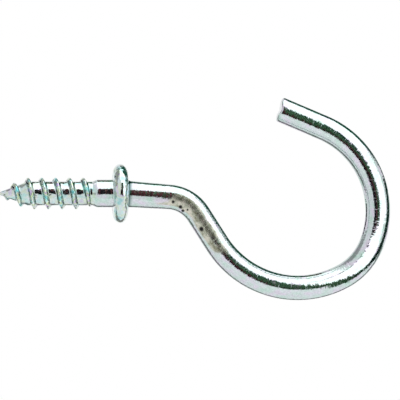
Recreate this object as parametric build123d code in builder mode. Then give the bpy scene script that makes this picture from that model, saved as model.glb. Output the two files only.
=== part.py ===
from build123d import *

import os
from math import ceil, cos, pi, sin

# Shouldered cup hook, one piece: steel wire with an upset collar, a rolled wood-screw thread and a bent bow.
# The origin is the centre of the collar's seat, on the screw's axis. +X leaves the wall and +Z is up.

# Wire and shank
wire_diameter = 3.6
swell_diameter = 3.85
shank_diameter = 4.0

# Collar
collar_diameter = 8.5
collar_thickness = 2.15
collar_seat_diameter = 5.9
collar_front_diameter = 5.0
collar_root_chamfer = 0.2

# Screw core
screw_length = 16.3
plain_length = 2.3
runout_length = 0.7
core_diameter = 3.45
point_length = 4.0
tip_diameter = 0.4

# Thread ridge, with its top crests counted from the seat
thread_diameter = 4.6
thread_pitch = 2.0
ridge_base_width = 0.9
ridge_crest_width = 0.2
thread_start = 0.3
thread_setback = 2.9
top_crest_setback = 4.3

# Hook line, from the collar's middle to the free end
run_length = 7.05
run_droop = 3.9
bend_radius = 5.45
bend_angle = 53.5
slope_length = 5.0
lower_bow_radius = 14.0
lower_bow_angle = 86.0
corner_radius = 9.0
corner_angle = 39.7
upper_bow_radius = 13.1
upper_bow_angle = 88.9
end_length = 6.9

# Cropped free end
end_slant = 6.0
end_edge_chamfer = 0.3

# Shares and counts that shape the ridge
sections_per_turn = 12
fade_turn_share = 0.5
fade_depth_share = 0.15
ridge_foot_share = 0.6

# Places along the screw's axis
point_x = -screw_length
core_x = point_x + point_length
runout_x = -plain_length - runout_length


def core_radius_at(x):
    """Radius of the screw's core at x: a tapered point, then the straight core."""
    along_point_share = min((x - point_x) / point_length, 1)
    return (tip_diameter + (core_diameter - tip_diameter) * along_point_share) / 2


def ridge_corners(x, fade_share):
    """Corners of the ridge's section at x, as (along the axis, out from the axis)."""
    core_radius = core_radius_at(x)
    full_height = (thread_diameter - core_diameter) / 2
    flank_slope_share = (ridge_base_width - ridge_crest_width) / 2 / full_height
    crest_radius = core_radius + full_height * (fade_share - fade_depth_share * (1 - fade_share))
    foot_radius = core_radius * ridge_foot_share
    half_crest = ridge_crest_width / 2
    half_foot = half_crest + flank_slope_share * (crest_radius - foot_radius)
    return [
        (-half_foot, foot_radius),
        (half_foot, foot_radius),
        (half_crest, crest_radius),
        (-half_crest, crest_radius),
    ]


def ridge_plane(x):
    """Plane through the axis that holds the ridge's section at x, on a right-hand helix."""
    angle = pi / 2 + 2 * pi * (x + top_crest_setback) / thread_pitch
    return Plane(origin=(x, 0, 0), x_dir=(1, 0, 0), z_dir=(0, -sin(angle), cos(angle)))


with BuildPart() as cup_hook:
    # Turned form: screw core, plain shank and a collar with a rounded rim
    with BuildSketch(Plane.XZ):
        with BuildLine():
            Polyline(
                (point_x, 0),
                (point_x, tip_diameter / 2),
                (core_x, core_diameter / 2),
                (runout_x, core_diameter / 2),
                (-plain_length, shank_diameter / 2),
                (0, shank_diameter / 2),
                (0, collar_seat_diameter / 2),
            )
            EllipticalCenterArc(
                center=(collar_thickness / 2, collar_seat_diameter / 2),
                x_radius=collar_thickness / 2,
                y_radius=(collar_diameter - collar_seat_diameter) / 2,
                start_angle=90,
                arc_size=90,
            )
            EllipticalCenterArc(
                center=(collar_thickness / 2, collar_front_diameter / 2),
                x_radius=collar_thickness / 2,
                y_radius=(collar_diameter - collar_front_diameter) / 2,
                start_angle=0,
                arc_size=90,
            )
            Polyline((collar_thickness, collar_front_diameter / 2), (collar_thickness, 0), (point_x, 0))
        make_face()
    revolve(axis=Axis.X)

    # Straight run: leaves the collar with a slight droop and tapers from its swelling to the wire
    run_start = Vector(collar_thickness / 2, 0, 0)
    run_direction = Vector(1, 0, 0).rotate(Axis.Y, run_droop)
    run_end = run_start + run_length * run_direction
    with BuildSketch(Plane(origin=run_start, z_dir=run_direction)):
        Circle(swell_diameter / 2)
    with BuildSketch(Plane(origin=run_end, z_dir=run_direction)):
        Circle(wire_diameter / 2)
    loft()
    front_face = cup_hook.faces().filter_by(GeomType.PLANE).sort_by_distance((collar_thickness, 0, 0))[0]
    chamfer(front_face.inner_wires().edges(), collar_root_chamfer)

    # Bent wire: bend, slope, three arcs of the bow and a straight end, drawn longer by half the wire
    with BuildLine(Plane.XZ) as hook_line:
        bend = JernArc(run_end, run_direction, bend_radius, -bend_angle)
        slope = Line(bend @ 1, bend @ 1 + slope_length * (bend % 1))
        lower_bow = JernArc(slope @ 1, slope % 1, lower_bow_radius, lower_bow_angle)
        corner = JernArc(lower_bow @ 1, lower_bow % 1, corner_radius, corner_angle)
        upper_bow = JernArc(corner @ 1, corner % 1, upper_bow_radius, upper_bow_angle)
        Line(upper_bow @ 1, upper_bow @ 1 + (end_length + wire_diameter / 2) * (upper_bow % 1))
    with BuildSketch(Plane(origin=run_end, z_dir=run_direction)):
        Circle(wire_diameter / 2)
    sweep(path=hook_line.wire())

    # Cropped end: cut on a slant that leaves the upper side longer, then its edge bevelled
    end_centre = upper_bow @ 1 + end_length * (upper_bow % 1)
    end_facing = (upper_bow % 1).rotate(Axis.Y, -end_slant)
    with BuildSketch(Plane(origin=end_centre, z_dir=end_facing)):
        Circle(wire_diameter)
    extrude(amount=wire_diameter, mode=Mode.SUBTRACT)
    end_face = cup_hook.faces().filter_by(GeomType.PLANE).sort_by_distance(end_centre)[0]
    chamfer(end_face.edges(), end_edge_chamfer)

    # Thread ridge: one loft for each turn of the helix, from the point to the run-out
    ridge_length = screw_length - thread_start - thread_setback
    ridge_turns = ridge_length / thread_pitch
    lofts = ceil(ridge_turns)
    for loft_number in range(lofts):
        for section_number in range(sections_per_turn + 1):
            done_share = (loft_number + section_number / sections_per_turn) / lofts
            turns_to_end = ridge_turns * min(done_share, 1 - done_share)
            fade_share = min(turns_to_end / fade_turn_share, 1)
            x = point_x + thread_start + ridge_length * done_share
            with BuildSketch(ridge_plane(x)):
                Polygon(*ridge_corners(x, fade_share), align=None)
        loft()

cup_hook.part.label = "cup_hook"
os.makedirs("parts", exist_ok=True)
export_step(cup_hook.part, "parts/cup_hook.step")
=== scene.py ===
from math import cos, pi, radians, sin, tan

import bpy
import numpy as np
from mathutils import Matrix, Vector


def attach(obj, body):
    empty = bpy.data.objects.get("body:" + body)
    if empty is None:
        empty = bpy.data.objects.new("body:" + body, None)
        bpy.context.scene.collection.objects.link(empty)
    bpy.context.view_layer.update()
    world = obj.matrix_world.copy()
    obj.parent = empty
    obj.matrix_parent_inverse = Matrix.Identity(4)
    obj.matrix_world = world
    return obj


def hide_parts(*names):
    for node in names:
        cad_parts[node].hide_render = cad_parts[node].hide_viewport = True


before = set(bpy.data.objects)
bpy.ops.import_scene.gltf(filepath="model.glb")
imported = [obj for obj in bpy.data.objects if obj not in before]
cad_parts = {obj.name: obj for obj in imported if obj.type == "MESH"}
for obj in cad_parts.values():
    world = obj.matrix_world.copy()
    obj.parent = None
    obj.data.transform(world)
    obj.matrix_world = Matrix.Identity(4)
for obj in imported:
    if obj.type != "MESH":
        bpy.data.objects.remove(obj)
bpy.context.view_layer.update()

# Sizes of the hook, in metres, as in the CAD model
WIRE_RADIUS = 0.0018
SWELL_RADIUS = 0.001925
SHANK_RADIUS = 0.0020
COLLAR_RADIUS = 0.00425
COLLAR_THICKNESS = 0.00215
COLLAR_SEAT_RADIUS = 0.00295
COLLAR_FRONT_RADIUS = 0.0025
COLLAR_ROOT = 0.0002
SCREW_LENGTH = 0.0163
PLAIN_LENGTH = 0.0023
RUNOUT_LENGTH = 0.0007
CORE_RADIUS = 0.001725
POINT_LENGTH = 0.0040
TIP_RADIUS = 0.0002

# Thread ridge: it fades in and out, and its edges are slightly rounded
THREAD_RADIUS = 0.0023
THREAD_PITCH = 0.0020
RIDGE_BASE_WIDTH = 0.0009
RIDGE_CREST_WIDTH = 0.0002
THREAD_START = 0.0003
THREAD_SETBACK = 0.0029
TOP_CREST_SETBACK = 0.0043
FADE_LENGTH = 0.0010
FADE_DEPTH_SHARE = 0.15
RIDGE_ROUNDING = 0.00006

# Hook line from the collar's middle to the free end, with angles in degrees
RUN_LENGTH = 0.00705
RUN_DROOP = 3.9
BEND_RADIUS = 0.00545
BEND_ANGLE = 53.5
SLOPE_LENGTH = 0.0050
LOWER_BOW_RADIUS = 0.0140
LOWER_BOW_ANGLE = 86.0
CORNER_RADIUS = 0.0090
CORNER_ANGLE = 39.7
UPPER_BOW_RADIUS = 0.0131
UPPER_BOW_ANGLE = 88.9
END_LENGTH = 0.0069

# Length and turn of each stretch of that line
STRETCHES = [
    (RUN_LENGTH, 0),
    (BEND_RADIUS * radians(BEND_ANGLE), -BEND_ANGLE),
    (SLOPE_LENGTH, 0),
    (LOWER_BOW_RADIUS * radians(LOWER_BOW_ANGLE), LOWER_BOW_ANGLE),
    (CORNER_RADIUS * radians(CORNER_ANGLE), CORNER_ANGLE),
    (UPPER_BOW_RADIUS * radians(UPPER_BOW_ANGLE), UPPER_BOW_ANGLE),
    (END_LENGTH, 0),
]

# Cropped free end: slant, rounded edge and the nick that the cropping blades leave across it
END_SLANT = 6.0
END_EDGE_RADIUS = 0.00034
END_SHEAR_LENGTH = 0.0015
NICK_DEPTH = 0.00022
NICK_HALF_WIDTH = 0.0009
NICK_ROUNDING_SHARE = 0.15

# Mesh fineness
COLUMNS = 96
THREAD_STEP = 0.00005
PROFILE_STEP = 0.00008
WIRE_STEP = 0.00025
QUARTER_POINTS = 16
EDGE_RINGS = 8
FACE_RINGS = 12

# Worn bend: where it lies along the wire, across it and towards the camera, and how softly it ends there
SMUDGE_FROM = 0.0053
SMUDGE_TO = 0.0221
SMUDGE_FADE = 0.0045
SMUDGE_LEAN = 0.0016
SMUDGE_LOW_SHARE = -0.70
SMUDGE_HIGH_SHARE = 0.36
SMUDGE_FADE_SHARE = 0.12
SMUDGE_FRONT_FADE = 0.0006

# Pits of the worn bend: their depth, the share of each that is its floor, and each pit as
# (distance along the wire, share across it, radius)
PIT_DEPTH = 0.00006
PIT_FLOOR_SHARE = 0.35
PITS = [
    (0.0087, -0.37, 0.00036),
    (0.0102, -0.58, 0.00046),
    (0.01095, -0.75, 0.00042),
    (0.0115, -0.46, 0.00022),
    (0.0152, -0.48, 0.00050),
]

# Passivation film: how much of its colour shows on the thread's core, on its ridge and on the collar,
# and the shares of the ridge's height between which it grows
FILM_ON_CORE = 0.45
FILM_ON_RIDGE = 1.0
FILM_ON_COLLAR = 0.55
FILM_FROM_SHARE = 0.10
FILM_FULL_SHARE = 0.60

# Painted shade in corners: its reach along the wire at the collar's root, how much lies at the feet of the
# ridge and up its flanks, and the shares of the ridge's height where that begins, is full, fades and ends
ROOT_SHADE_REACH = 0.0007
FOOT_SHADE = 0.30
FOOT_SHADE_FROM_SHARE = 0.04
FOOT_SHADE_FULL_SHARE = 0.14
FOOT_SHADE_FADE_SHARE = 0.25
FOOT_SHADE_END_SHARE = 0.90

# Noises of the finish, as their scales along, across and up the straightened wire, for each metre
TINT_SCALE = (600, 800, 800)
FILM_SCALE = (800, 1000, 1000)
SPECKLE_SCALE = (4000, 5000, 5000)
BORDER_SCALE = (420, 700, 700)
PATCH_SCALE = (1100, 1500, 1500)
STREAK_SCALE = (3400, 1000, 1000)
RIPPLE_SCALE = (1500, 450, 450)
GRAIN_SCALE = (2500, 7000, 7000)
DENT_SCALE = (900, 1100, 1100)

# Range that holds most of a noise's values
NOISE_LOW = 0.25
NOISE_HIGH = 0.75

# Colours of the finish: those that follow a noise are (noise value, colour)
ZINC_TINTS = [
    (0.34, (0.47, 0.63, 0.57)),
    (0.45, (0.54, 0.63, 0.62)),
    (0.54, (0.57, 0.63, 0.65)),
    (0.63, (0.62, 0.59, 0.68)),
]
FILM_TINTS = [
    (0.30, (0.18, 0.56, 0.60)),
    (0.42, (0.42, 0.74, 0.68)),
    (0.50, (0.66, 0.71, 0.74)),
    (0.59, (0.56, 0.72, 0.40)),
    (0.68, (0.58, 0.48, 0.72)),
]
WORN_COLOURS = [
    (0.36, (0.24, 0.24, 0.17)),
    (0.48, (0.42, 0.44, 0.36)),
    (0.60, (0.60, 0.58, 0.50)),
]
# Painted shade, dark teal, for the collar's root and the ridge's feet and flanks
PAINTED_SHADE_COLOUR = (0.05, 0.12, 0.11, 1)
PIT_COLOUR = (0.02, 0.02, 0.02, 1)
SPECKLE_DARK = 0.88
SPECKLE_BRIGHT = 1.06

# Ragged border of the worn bend: the range of its noise, and the products at which wear begins and is full
BORDER_WEAK = 0.55
BORDER_STRONG = 1.6
WEAR_FROM = 0.35
WEAR_FULL = 0.80

# Roughness: plain plate, streaks over a range of their noise, what wear adds and what the film takes away
PLAIN_ROUGHNESS = 0.05
STREAK_ROUGHNESS = 0.30
STREAK_FROM = 0.50
STREAK_FULL = 0.74
WORN_ROUGHNESS = 0.30
FILM_GLOSS_SHARE = 0.6

# Relief of the plated surface
RIPPLE_HEIGHT = 0.000058
GRAIN_HEIGHT = 0.00001
DENT_HEIGHT = 0.00030

# Photograph's frame: the hook's plane is this wide across the picture, centred on this point
FRAME_WIDTH = 0.0578
FRAME_CENTRE = Vector((0.01260, 0, -0.00094))

# Camera: its turn to the right in degrees, its lens and sensor in millimetres, and where its view begins
CAMERA_TURN = -5
LENS = 300
SENSOR_WIDTH = 36
NEAR_CLIP = 0.01

# Dark flag in front of the hook, which draws the dark lines along the wire: corners as (x, z)
CAMERA_FLAG_DISTANCE = 0.100
CAMERA_FLAG = [
    (-0.045, -0.020),
    (-0.012, -0.045),
    (0.058, -0.048),
    (0.060, 0.000),
    (0.074, 0.030),
    (0.056, 0.080),
    (0.005, 0.088),
    (-0.045, 0.020),
]

# Small cards close to the hook, as (x, z): a bright one above a border and a dark one below it, where the
# lines cross at the bow's lower corner, and a white one that thins the dark line on the screw and the run
NEAR_CARD_DISTANCE = 0.0105
CORNER_BORDER = [(0.0305, -0.0120), (0.0364, -0.0149), (0.0432, -0.0177)]
CORNER_REFLECTOR = CORNER_BORDER + [
    (0.0510, -0.0196),
    (0.0510, -0.0030),
    (0.0365, -0.0050),
    (0.0260, -0.0045),
]
CORNER_FLAG = CORNER_BORDER + [
    (0.1000, -0.0330),
    (0.1000, -0.0460),
    (0.0465, -0.0300),
    (0.0360, -0.0230),
]
RUN_REFLECTOR = [
    (-0.0165, -0.0018),
    (-0.0040, -0.0016),
    (-0.0020, -0.0011),
    (0.0015, -0.0011),
    (0.0030, -0.0019),
    (0.0085, -0.0023),
    (0.0085, -0.0090),
    (-0.0165, -0.0090),
]

# Dark flag to the right of the bow: corners as (y, z)
SIDE_FLAG_X = 0.080
SIDE_FLAG = [
    (-0.035, -0.046),
    (-0.005, -0.046),
    (0.035, 0.000),
    (0.042, 0.014),
    (0.008, 0.014),
    (-0.011, -0.0145),
    (-0.0275, -0.0345),
]

# Rectangles that face the hook from afar: name, degrees right and up from the way back to the camera,
# distance, width, height, slide along X, face
FAR_CARDS = [
    ("softbox_top", 0, 76, 0.42, 0.90, 0.60, 0.30, "softbox_face"),
    ("softbox_right", 46, 12, 0.50, 0.60, 0.80, 0.00, "softbox_face"),
    ("back_flag_top", 0, 127, 0.50, 0.80, 0.30, 0.36, "dark_flag"),
    ("back_flag_right", 146, 22, 0.50, 0.30, 0.30, 0.00, "dark_flag"),
    ("back_flag_left", -140, 0, 0.50, 0.22, 0.24, 0.00, "dark_flag"),
    ("left_card", -116, 39, 0.50, 0.50, 0.40, 0.00, "dim_card"),
]

# Grey card that lies just above the floor, behind the hook
LOW_FLAG_WIDTH = 0.30
LOW_FLAG_DEPTH = 0.06
LOW_FLAG_Y = 0.06
LOW_FLAG_RISE = 0.00106

# Strength of the faces that glow, where 1 is the white of the surroundings
GLOWS = {"softbox_face": 2.0, "white_card": 1.0, "dim_card": 0.42, "grey_card": 0.25}

# Cloth of the flags: painted light that makes it darker at its foot and brighter at its head, as if lit from
# above, and its colours from left to right as (share, colour)
CLOTH_FOOT_Z = -0.035
CLOTH_HEAD_Z = 0.075
CLOTH_FOOT_PAINTED_SHADE = 0.60
CLOTH_HEAD_PAINTED_LIGHT = 2.2
CLOTH_FROM_X = 0.001
CLOTH_TO_X = 0.057
CLOTH_COLOURS = [
    (0.00, (0.020, 0.020, 0.024)),
    (0.12, (0.022, 0.018, 0.020)),
    (0.19, (0.120, 0.034, 0.040)),
    (0.25, (0.240, 0.066, 0.078)),
    (0.31, (0.130, 0.038, 0.044)),
    (0.38, (0.035, 0.036, 0.030)),
    (0.48, (0.050, 0.092, 0.056)),
    (0.58, (0.100, 0.190, 0.100)),
    (1.00, (0.012, 0.050, 0.034)),
]

# Floor: pale paint, lifted a little where it is seen, that turns white over a range of distances
FLOOR_Z = -0.050
FLOOR_SIZE = 6.0
FLOOR_COLOUR = (0.80, 0.80, 0.80, 1)
FLOOR_LIFT = 0.25
FLOOR_FADE_FROM = 0.12
FLOOR_FADE_TO = 0.35

# Strength of the surroundings where they are seen, and as light on the scene
WHITE_STRENGTH = 1.0
TENT_LIGHT = 0.5

# Angles of the points of each ring round the wire, and how far up each lies as a share of the radius
AROUND = np.arange(COLUMNS) * 2 * pi / COLUMNS
UP = np.sin(AROUND)


def rounded_above(value, softness):
    """The larger of value and zero, with the corner rounded."""
    return (value + np.sqrt(value * value + softness * softness)) / 2


def smooth_step(value, low, high):
    """Zero below low, one above high, smooth between them."""
    share = np.clip((value - low) / (high - low), 0, 1)
    return share * share * (3 - 2 * share)


def core_radius_at(x):
    """Radius of the screw's core at x: a tapered point, then the straight core."""
    share = np.clip((x + SCREW_LENGTH) / POINT_LENGTH, 0, 1)
    return TIP_RADIUS + (CORE_RADIUS - TIP_RADIUS) * share


def thread_radius(x):
    """Radius of the threaded core round the ring at x: the core with its ridge on a right-hand helix."""
    turn = (AROUND - pi / 2) / (2 * pi)
    offset = turn * THREAD_PITCH - TOP_CREST_SETBACK - x
    offset -= THREAD_PITCH * np.round(offset / THREAD_PITCH)
    crest_x = x + offset
    first, last = -SCREW_LENGTH + THREAD_START, -THREAD_SETBACK
    fade = np.clip(np.minimum(crest_x - first, last - crest_x) / FADE_LENGTH, -1, 1)
    full = THREAD_RADIUS - CORE_RADIUS
    crest_height = full * (fade - FADE_DEPTH_SHARE * (1 - fade))
    flank = (RIDGE_BASE_WIDTH - RIDGE_CREST_WIDTH) / 2 / full
    beside = rounded_above(np.abs(offset) - RIDGE_CREST_WIDTH / 2, RIDGE_ROUNDING)
    height = crest_height - beside / flank
    return core_radius_at(x) + rounded_above(height, RIDGE_ROUNDING)


def spaced(points, step):
    """Points along a polyline, at most a step apart, its corners kept."""
    found = [points[0]]
    for start, end in zip(points[:-1], points[1:]):
        start, end = np.array(start), np.array(end)
        count = max(int(np.ceil(np.linalg.norm(end - start) / step)), 1)
        found += [tuple(start + (end - start) * k / count) for k in range(1, count + 1)]
    return found


def collar_profile():
    """(x, radius) from the end of the thread, over the shank and the collar, to the root of the wire."""
    middle = COLLAR_THICKNESS / 2
    quarter = np.linspace(0, pi / 2, QUARTER_POINTS)
    shank = [(-PLAIN_LENGTH - RUNOUT_LENGTH, CORE_RADIUS), (-PLAIN_LENGTH, SHANK_RADIUS), (0, SHANK_RADIUS)]
    back = [
        (middle - middle * cos(a), COLLAR_SEAT_RADIUS + (COLLAR_RADIUS - COLLAR_SEAT_RADIUS) * sin(a))
        for a in quarter
    ]
    front = [
        (middle + middle * sin(a), COLLAR_FRONT_RADIUS + (COLLAR_RADIUS - COLLAR_FRONT_RADIUS) * cos(a))
        for a in quarter
    ]
    root = [
        (COLLAR_THICKNESS + COLLAR_ROOT * (1 - cos(a)), SWELL_RADIUS + COLLAR_ROOT * (1 - sin(a)))
        for a in quarter
    ]
    return spaced(shank + back + front[1:] + root, PROFILE_STEP)


def hook_stations():
    """(x, z, heading, distance) along the hook line, at most a step apart."""
    x, z, heading, distance = COLLAR_THICKNESS / 2, 0.0, -radians(RUN_DROOP), COLLAR_THICKNESS / 2
    stations = [(x, z, heading, distance)]
    for length, turn in STRETCHES:
        count = int(np.ceil(length / WIRE_STEP))
        part, half_turn = length / count, radians(turn) / count / 2
        chord = part * sin(half_turn) / half_turn if half_turn else part
        for _ in range(count):
            x += chord * cos(heading + half_turn)
            z += chord * sin(heading + half_turn)
            heading += 2 * half_turn
            distance += part
            stations.append((x, z, heading, distance))
    return stations


def wire_radius_at(distance):
    """Radius of the wire: it tapers from its swelling at the collar."""
    share = np.clip((distance - COLLAR_THICKNESS / 2) / RUN_LENGTH, 0, 1)
    return SWELL_RADIUS + (WIRE_RADIUS - SWELL_RADIUS) * share


def end_shift(across):
    """How far a point of the cropped end moves along the wire, by its place across the end."""
    nick = NICK_DEPTH * rounded_above(1 - np.abs(across) / NICK_HALF_WIDTH, NICK_ROUNDING_SHARE)
    return -across * tan(radians(END_SLANT)) - nick


def ring(x, z, heading, distance, radius, shift=0.0):
    """Points of one ring round the wire, and their places on the straightened wire.

    The radius, and the shift along the wire, may differ round the ring.
    """
    side, up = radius * np.cos(AROUND), radius * UP
    along = np.broadcast_to(shift, AROUND.shape)
    ring_x = x - sin(heading) * up + cos(heading) * along
    ring_z = z + cos(heading) * up + sin(heading) * along
    return np.stack([ring_x, side, ring_z], axis=1), np.stack([distance + along, side, up], axis=1)


def screw_rings():
    """Rings of the screw, from a small one on its blunt tip to the end of the thread."""
    thread_end = -PLAIN_LENGTH - RUNOUT_LENGTH
    rings = [ring(-SCREW_LENGTH, 0, 0, -SCREW_LENGTH, TIP_RADIUS / 2)]
    for x in np.arange(-SCREW_LENGTH, thread_end - THREAD_STEP, THREAD_STEP):
        rings.append(ring(x, 0, 0, x, thread_radius(x)))
    return rings


def collar_rings():
    """Rings of the shank, the collar and the wire's root, where they turn to the droop of the run."""
    rings = []
    for x, radius in collar_profile():
        heading = -radians(RUN_DROOP) * np.clip((x - COLLAR_THICKNESS) / COLLAR_ROOT, 0, 1)
        rings.append(ring(x, (x - COLLAR_THICKNESS / 2) * tan(heading), heading, x, radius))
    return rings


def wire_rings(stations):
    """Rings of the wire, from its root to the rounded edge of its end. The last ones lean with the crop."""
    end_distance = stations[-1][3]
    rings = []
    for x, z, heading, distance in stations:
        if COLLAR_THICKNESS + COLLAR_ROOT < distance <= end_distance - END_EDGE_RADIUS:
            radius = wire_radius_at(distance)
            lean = np.clip((distance - end_distance + END_SHEAR_LENGTH) / END_SHEAR_LENGTH, 0, 1)
            rings.append(ring(x, z, heading, distance, radius, lean * end_shift(radius * UP)))
    return rings


def end_rings(station):
    """Rings of the cropped end: its rounded edge, then its face."""
    rings = []
    for angle in np.linspace(0, pi / 2, EDGE_RINGS):
        radius = WIRE_RADIUS - END_EDGE_RADIUS * (1 - cos(angle))
        back = END_EDGE_RADIUS * (1 - sin(angle))
        rings.append(ring(*station, radius, end_shift(radius * UP) - back))
    for radius in np.linspace(WIRE_RADIUS - END_EDGE_RADIUS, 0, FACE_RINGS + 1)[1:-1]:
        rings.append(ring(*station, radius, end_shift(radius * UP)))
    return rings


def ring_middle(points_and_places):
    """The middle of a ring, as one point and its place on the straightened wire."""
    return [part.mean(axis=0, keepdims=True) for part in points_and_places]


def skin_faces(ring_count):
    """Faces of a closed skin over the rings, whose points are followed by those of the tip and the end."""
    tip = ring_count * COLUMNS
    end = tip + 1
    last = tip - COLUMNS
    faces = []
    for column in range(COLUMNS):
        beside = (column + 1) % COLUMNS
        faces.append((tip, beside, column))
        faces.append((end, last + column, last + beside))
        for low in range(0, last, COLUMNS):
            high = low + COLUMNS
            faces.append((low + column, low + beside, high + beside, high + column))
    return faces


def ridge_height(along, radius):
    """Height above the screw's core, as a share of the full ridge."""
    return (radius - core_radius_at(along)) / (THREAD_RADIUS - CORE_RADIUS)


def worn_share(straight):
    """How worn each point of the straightened wire is: the bend's side that faces the camera is dull."""
    along, side, up = straight.T
    across = up / np.maximum(np.hypot(side, up), TIP_RADIUS)
    along = along - SMUDGE_LEAN * across
    fade = SMUDGE_FADE_SHARE
    lengthwise = smooth_step(along, SMUDGE_FROM, SMUDGE_FROM + SMUDGE_FADE)
    lengthwise *= smooth_step(-along, -SMUDGE_TO, -SMUDGE_TO + SMUDGE_FADE)
    crosswise = smooth_step(across, SMUDGE_LOW_SHARE - fade, SMUDGE_LOW_SHARE + fade)
    crosswise *= smooth_step(-across, -SMUDGE_HIGH_SHARE - fade, -SMUDGE_HIGH_SHARE + fade)
    return lengthwise * crosswise * smooth_step(-side, 0, SMUDGE_FRONT_FADE)


def film_share(straight):
    """How much of the film's colour shows: most on the thread's ridge, some on its core and the collar."""
    along, side, up = straight.T
    radius = np.hypot(side, up)
    growth = smooth_step(ridge_height(along, radius), FILM_FROM_SHARE, FILM_FULL_SHARE)
    thread = FILM_ON_CORE + (FILM_ON_RIDGE - FILM_ON_CORE) * growth
    thread *= smooth_step(-along, PLAIN_LENGTH, PLAIN_LENGTH + RUNOUT_LENGTH)
    collar = FILM_ON_COLLAR * smooth_step(radius, COLLAR_FRONT_RADIUS, COLLAR_SEAT_RADIUS)
    return np.where(along < -PLAIN_LENGTH, thread, collar)


def painted_shade_share(straight):
    """How much painted shade lies in the corners: at the collar's root, along both feet of the ridge and up
    its flanks.
    """
    along, side, up = straight.T
    radius = np.hypot(side, up)
    height = ridge_height(along, radius)
    foot = FOOT_SHADE * smooth_step(height, FOOT_SHADE_FROM_SHARE, FOOT_SHADE_FULL_SHARE)
    foot *= smooth_step(-height, -FOOT_SHADE_END_SHARE, -FOOT_SHADE_FADE_SHARE)
    root = smooth_step(-along, -COLLAR_THICKNESS - ROOT_SHADE_REACH, -COLLAR_THICKNESS)
    root *= smooth_step(-radius, -COLLAR_FRONT_RADIUS, -SWELL_RADIUS - COLLAR_ROOT / 2)
    root = np.where(along > COLLAR_THICKNESS / 2, root, 0)
    return np.where(along < -PLAIN_LENGTH - RUNOUT_LENGTH, foot, root)


def keep_on_points(mesh, straight):
    """Keeps each point's place on the straightened wire, and its shares, for the material."""
    places = mesh.attributes.new("straight_wire", "FLOAT_VECTOR", "POINT")
    places.data.foreach_set("vector", straight.astype(np.float32).ravel())
    for name, share in (("worn", worn_share), ("film", film_share), ("painted_shade", painted_shade_share)):
        attribute = mesh.attributes.new(name, "FLOAT", "POINT")
        attribute.data.foreach_set("value", share(straight).astype(np.float32))


def build_hook(material):
    """The whole hook as one closed skin."""
    stations = hook_stations()
    rings = screw_rings() + collar_rings() + wire_rings(stations) + end_rings(stations[-1])
    middles = [ring_middle(rings[0]), ring_middle(rings[-1])]
    points, straight = (np.concatenate(parts) for parts in zip(*rings, *middles))
    mesh = bpy.data.meshes.new("hook_skin")
    mesh.from_pydata(points.tolist(), [], skin_faces(len(rings)))
    mesh.validate()
    keep_on_points(mesh, straight)
    mesh.shade_smooth()
    mesh.materials.append(material)
    hook = bpy.data.objects.new("hook_skin", mesh)
    bpy.context.scene.collection.objects.link(hook)
    return hook


class Nodes:
    """Short ways to add and join the nodes of one material or of the world."""

    def __init__(self, tree):
        self.tree = tree

    def put(self, socket, value):
        """Sets a socket to a number or colour, or joins it to another node's output."""
        if isinstance(value, bpy.types.NodeSocket):
            self.tree.links.new(value, socket)
        else:
            socket.default_value = value

    def fill(self, node, inputs):
        """Sets or joins a node's inputs, given by name or number."""
        for key, value in inputs.items():
            self.put(node.inputs[key], value)

    def add(self, kind, inputs=None):
        """A new node with its inputs set or joined."""
        node = self.tree.nodes.new(kind)
        self.fill(node, inputs or {})
        return node

    def attribute(self, name):
        """The outputs of a node that reads what is kept on the mesh's points."""
        node = self.add("ShaderNodeAttribute")
        node.attribute_name = name
        return node.outputs

    def kept(self, name):
        """A share kept on the mesh's points."""
        return self.attribute(name)["Fac"]

    def straight(self):
        """The place on the straightened wire."""
        return self.attribute("straight_wire")["Vector"]

    def noise(self, scale, detail=3.0, roughness=0.55):
        """Noise with its scale given along, across and up the straightened wire."""
        place = self.add("ShaderNodeMapping", {"Vector": self.straight(), "Scale": scale}).outputs["Vector"]
        inputs = {"Vector": place, "Scale": 1.0, "Detail": detail, "Roughness": roughness}
        return self.add("ShaderNodeTexNoise", inputs).outputs["Fac"]

    def math(self, operation, first, second):
        """The result of one operation on two values."""
        node = self.add("ShaderNodeMath", {0: first, 1: second})
        node.operation = operation
        return node.outputs["Value"]

    def spread(self, value, low, high, to_low=0.0, to_high=1.0, interpolation="SMOOTHSTEP"):
        """A value taken from one range to another, and held at its ends."""
        inputs = {"Value": value, "From Min": low, "From Max": high, "To Min": to_low, "To Max": to_high}
        node = self.add("ShaderNodeMapRange", inputs)
        node.interpolation_type = interpolation
        return node.outputs["Result"]

    def ramp(self, value, stops):
        """A colour ramp with the given (place, colour) stops."""
        node = self.add("ShaderNodeValToRGB", {"Fac": value})
        elements = node.color_ramp.elements
        while len(elements) < len(stops):
            elements.new(position=0.5)
        for element, (position, colour) in zip(elements, stops):
            element.position = position
            element.color = (*colour, 1)
        return node.outputs["Color"]

    def mix(self, blend, factor, first, second):
        """Two colours mixed or multiplied."""
        node = self.add("ShaderNodeMix")
        node.data_type = "RGBA"
        node.blend_type = blend
        self.fill(node, {"Factor": factor, "A": first, "B": second})
        return node.outputs["Result"]

    def near(self, centre, inner, outer):
        """One within the inner radius of a point of the straightened wire, and zero beyond the outer."""
        node = self.add("ShaderNodeVectorMath", {0: self.straight(), 1: centre})
        node.operation = "DISTANCE"
        return self.spread(node.outputs["Value"], outer, inner)


def new_material(name):
    """An empty material, the ways to add its nodes, and the socket of its surface."""
    material = bpy.data.materials.new(name)
    material.use_nodes = True
    material.node_tree.nodes.clear()
    nodes = Nodes(material.node_tree)
    return material, nodes, nodes.add("ShaderNodeOutputMaterial").inputs["Surface"]


def wear_share(nodes):
    """Share of the worn bend, with a ragged border."""
    border = nodes.spread(nodes.noise(BORDER_SCALE), NOISE_LOW, NOISE_HIGH, BORDER_WEAK, BORDER_STRONG)
    return nodes.spread(nodes.math("MULTIPLY", nodes.kept("worn"), border), WEAR_FROM, WEAR_FULL)


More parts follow.
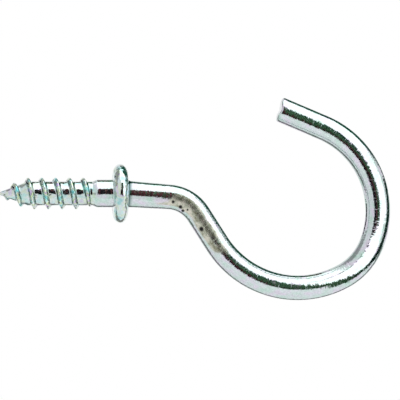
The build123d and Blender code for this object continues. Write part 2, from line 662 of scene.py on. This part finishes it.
def pit_share(nodes):
    """Share of the pits, which lie on the side of the wire that faces the camera."""
    pits = 0.0
    for along, share, radius in PITS:
        centre = (along, -WIRE_RADIUS * (1 - share**2) ** 0.5, WIRE_RADIUS * share)
        pits = nodes.math("MAXIMUM", nodes.near(centre, PIT_FLOOR_SHARE * radius, radius), pits)
    return pits


def zinc_colour(nodes, worn, film, pits):
    """Faint tints of zinc, stronger ones of the film, a fine speckle, then the worn bend, painted shade in
    the corners, and pits.
    """
    zinc_tint = nodes.ramp(nodes.noise(TINT_SCALE, detail=2.0), ZINC_TINTS)
    film_tint = nodes.ramp(nodes.noise(FILM_SCALE, detail=1.0), FILM_TINTS)
    specks = nodes.noise(SPECKLE_SCALE, detail=2.0)
    speckle = nodes.spread(specks, NOISE_LOW, NOISE_HIGH, SPECKLE_DARK, SPECKLE_BRIGHT)
    plate = nodes.mix("MULTIPLY", 1.0, nodes.mix("MIX", film, zinc_tint, film_tint), speckle)
    worn_colour = nodes.ramp(nodes.noise(PATCH_SCALE, detail=4.0, roughness=0.65), WORN_COLOURS)
    dulled = nodes.mix("MIX", worn, plate, worn_colour)
    # Painted shade at the collar's root and along the ridge's feet and flanks
    shaded = nodes.mix("MIX", nodes.kept("painted_shade"), dulled, PAINTED_SHADE_COLOUR)
    return nodes.mix("MIX", pits, shaded, PIT_COLOUR)


def zinc_roughness(nodes, worn, film):
    """A bright plate with duller streaks, glossier under the film and dull where it is worn."""
    streaks = nodes.noise(STREAK_SCALE, detail=2.0)
    plate = nodes.spread(streaks, STREAK_FROM, STREAK_FULL, PLAIN_ROUGHNESS, STREAK_ROUGHNESS)
    kept_share = nodes.math("SUBTRACT", 1.0, nodes.math("MULTIPLY", film, FILM_GLOSS_SHARE))
    wear = nodes.math("MULTIPLY", worn, WORN_ROUGHNESS)
    return nodes.math("ADD", nodes.math("MULTIPLY", plate, kept_share), wear)


def zinc_normal(nodes, film, pits):
    """Relief of the plate: ripples across the wire, fine grain, dents under the film, and the pits."""
    ripple = nodes.math("MULTIPLY", nodes.noise(RIPPLE_SCALE), RIPPLE_HEIGHT)
    grain = nodes.math("MULTIPLY", nodes.noise(GRAIN_SCALE), GRAIN_HEIGHT)
    dents = nodes.math("MULTIPLY", nodes.noise(DENT_SCALE, detail=1.0), DENT_HEIGHT)
    raised = nodes.math("ADD", ripple, nodes.math("ADD", grain, nodes.math("MULTIPLY", dents, film)))
    height = nodes.math("SUBTRACT", raised, nodes.math("MULTIPLY", pits, PIT_DEPTH))
    return nodes.add("ShaderNodeBump", {"Distance": 1.0, "Height": height}).outputs["Normal"]


def zinc_material():
    """Bright zinc plate on drawn wire, with passivation tints and a worn, pitted bend."""
    material, nodes, surface = new_material("zinc_plate")
    worn, film, pits = wear_share(nodes), nodes.kept("film"), pit_share(nodes)
    looks = {
        "Metallic": 1.0,
        "Base Color": zinc_colour(nodes, worn, film, pits),
        "Roughness": zinc_roughness(nodes, worn, film),
        "Normal": zinc_normal(nodes, film, pits),
    }
    nodes.put(surface, nodes.add("ShaderNodeBsdfPrincipled", looks).outputs["BSDF"])
    return material


def glow_material(name, strength):
    """The glowing face of a softbox or card."""
    material, nodes, surface = new_material(name)
    nodes.put(surface, nodes.add("ShaderNodeEmission", {"Strength": strength}).outputs["Emission"])
    return material


def flag_material():
    """Dark cloth for the flags: black, red-brown and green from left to right, with painted light that
    brightens it towards its head.
    """
    material, nodes, surface = new_material("dark_flag")
    place = nodes.add("ShaderNodeNewGeometry").outputs["Position"]
    axes = nodes.add("ShaderNodeSeparateXYZ", {0: place}).outputs
    across = nodes.spread(axes["X"], CLOTH_FROM_X, CLOTH_TO_X, interpolation="LINEAR")
    # Painted light: the cloth is brighter towards its head and darker at its foot, as if lit from above
    painted_light = nodes.spread(
        axes["Z"], CLOTH_FOOT_Z, CLOTH_HEAD_Z, CLOTH_FOOT_PAINTED_SHADE, CLOTH_HEAD_PAINTED_LIGHT, interpolation="LINEAR"
    )
    colour = nodes.mix("MULTIPLY", 1.0, nodes.ramp(across, CLOTH_COLOURS), painted_light)
    nodes.put(surface, nodes.add("ShaderNodeBsdfDiffuse", {"Color": colour}).outputs["BSDF"])
    return material


def seen_directly(nodes):
    """One where a ray comes from the camera or from a mirror or glass, and zero elsewhere."""
    path = nodes.add("ShaderNodeLightPath").outputs
    seen = nodes.math("MAXIMUM", path["Is Camera Ray"], path["Is Glossy Ray"])
    return nodes.math("MAXIMUM", seen, path["Is Transmission Ray"])


def floor_material():
    """Pale paint that keeps the shadow near the hook and is white further off, where it is seen."""
    material, nodes, surface = new_material("pale_floor")
    seen = seen_directly(nodes)
    paint = nodes.add("ShaderNodeBsdfDiffuse", {"Color": FLOOR_COLOUR}).outputs["BSDF"]
    lift = nodes.add("ShaderNodeEmission", {"Strength": nodes.math("MULTIPLY", seen, FLOOR_LIFT)})
    near = nodes.add("ShaderNodeAddShader", {0: paint, 1: lift.outputs["Emission"]}).outputs["Shader"]
    far = nodes.add("ShaderNodeEmission", {"Strength": WHITE_STRENGTH}).outputs["Emission"]
    place = nodes.add("ShaderNodeNewGeometry").outputs["Position"]
    reach = nodes.add("ShaderNodeVectorMath", {0: place})
    reach.operation = "LENGTH"
    fade = nodes.spread(reach.outputs["Value"], FLOOR_FADE_FROM, FLOOR_FADE_TO)
    both = nodes.add("ShaderNodeMixShader", {"Fac": nodes.math("MULTIPLY", fade, seen), 1: near, 2: far})
    nodes.put(surface, both.outputs["Shader"])
    return material


def towards(right, up):
    """Unit vector from the hook, turned right and up from the way back to the camera, in degrees."""
    r, u = radians(right), radians(up)
    return Vector((sin(r) * cos(u), -cos(r) * cos(u), sin(u)))


def rectangle(width, depth, centre=(0, 0, 0)):
    """Corners of a level rectangle."""
    x, y, z = centre
    w, d = width / 2, depth / 2
    return [(x - w, y - d, z), (x + w, y - d, z), (x + w, y + d, z), (x - w, y + d, z)]


def flat_object(name, corners, material):
    """A flat object with the given corners."""
    mesh = bpy.data.meshes.new(name)
    mesh.from_pydata(corners, [], [range(len(corners))])
    mesh.materials.append(material)
    flat = bpy.data.objects.new(name, mesh)
    bpy.context.scene.collection.objects.link(flat)
    return flat


def add_card(name, corners, material, glossy_only=True):
    """A card that the camera doesn't see. With glossy_only it shows in the metal and lights nothing else."""
    card = flat_object(name, corners, material)
    card.visible_camera = False
    card.visible_diffuse = not glossy_only
    card.visible_shadow = not glossy_only
    return card


def add_far_card(name, right, up, distance, width, height, slide, material, glossy_only):
    """A rectangle that faces the hook from afar, slid sideways along X."""
    card = add_card(name, rectangle(width, height), material, glossy_only)
    direction = towards(right, up)
    card.location = FRAME_CENTRE + direction * distance + Vector((slide, 0, 0))
    card.rotation_mode = "QUATERNION"
    card.rotation_quaternion = direction.to_track_quat("Z", "Y")


def add_front_card(name, corners, distance, material):
    """A card in front of the hook, parallel to its plane."""
    add_card(name, [(x, -distance, z) for x, z in corners], material)


def build_studio():
    """Two softboxes, which light the whole scene, and cards and dark flags that only the metal mirrors."""
    faces = {name: glow_material(name, strength) for name, strength in GLOWS.items()}
    faces["dark_flag"] = flag_material()
    for *place, face in FAR_CARDS:
        add_far_card(*place, faces[face], glossy_only=face != "softbox_face")
    low_centre = (FRAME_CENTRE.x, LOW_FLAG_Y, FLOOR_Z + LOW_FLAG_RISE)
    add_card("low_flag", rectangle(LOW_FLAG_WIDTH, LOW_FLAG_DEPTH, low_centre), faces["grey_card"])
    add_front_card("camera_flag", CAMERA_FLAG, CAMERA_FLAG_DISTANCE, faces["dark_flag"])
    add_front_card("corner_reflector", CORNER_REFLECTOR, NEAR_CARD_DISTANCE, faces["softbox_face"])
    add_front_card("corner_flag", CORNER_FLAG, NEAR_CARD_DISTANCE, faces["dark_flag"])
    add_front_card("run_reflector", RUN_REFLECTOR, NEAR_CARD_DISTANCE, faces["white_card"])
    add_card("side_flag", [(SIDE_FLAG_X, y, z) for y, z in SIDE_FLAG], faces["dark_flag"])


def build_world():
    """White surroundings, like a tent: full white where seen, and less as light on the scene."""
    world = bpy.data.worlds.new("white_tent")
    world.use_nodes = True
    nodes = Nodes(world.node_tree)
    seen = seen_directly(nodes)
    strength = nodes.spread(seen, 0.0, 1.0, TENT_LIGHT, WHITE_STRENGTH, interpolation="LINEAR")
    nodes.fill(world.node_tree.nodes["Background"], {"Color": (1, 1, 1, 1), "Strength": strength})
    bpy.context.scene.world = world


def build_floor():
    """Pale floor below the hook."""
    corners = rectangle(FLOOR_SIZE, FLOOR_SIZE, (0, 0, FLOOR_Z))
    floor = flat_object("floor", corners, floor_material())


def build_camera():
    """Long lens, level, a little to the screw's side, as far off as makes its view as wide as the frame."""
    data = bpy.data.cameras.new("camera")
    data.lens = LENS
    data.sensor_width = SENSOR_WIDTH
    data.clip_start = NEAR_CLIP
    camera = bpy.data.objects.new("camera", data)
    distance = FRAME_WIDTH * LENS / SENSOR_WIDTH
    camera.location = FRAME_CENTRE + towards(CAMERA_TURN, 0) * distance
    camera.rotation_euler = (pi / 2, 0, radians(CAMERA_TURN))
    bpy.context.scene.collection.objects.link(camera)
    bpy.context.scene.camera = camera


hook = build_hook(zinc_material())
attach(hook, "root")
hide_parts("cup_hook")
build_world()
build_studio()
build_floor()
build_camera()
bpy.context.scene.view_settings.view_transform = "Standard"
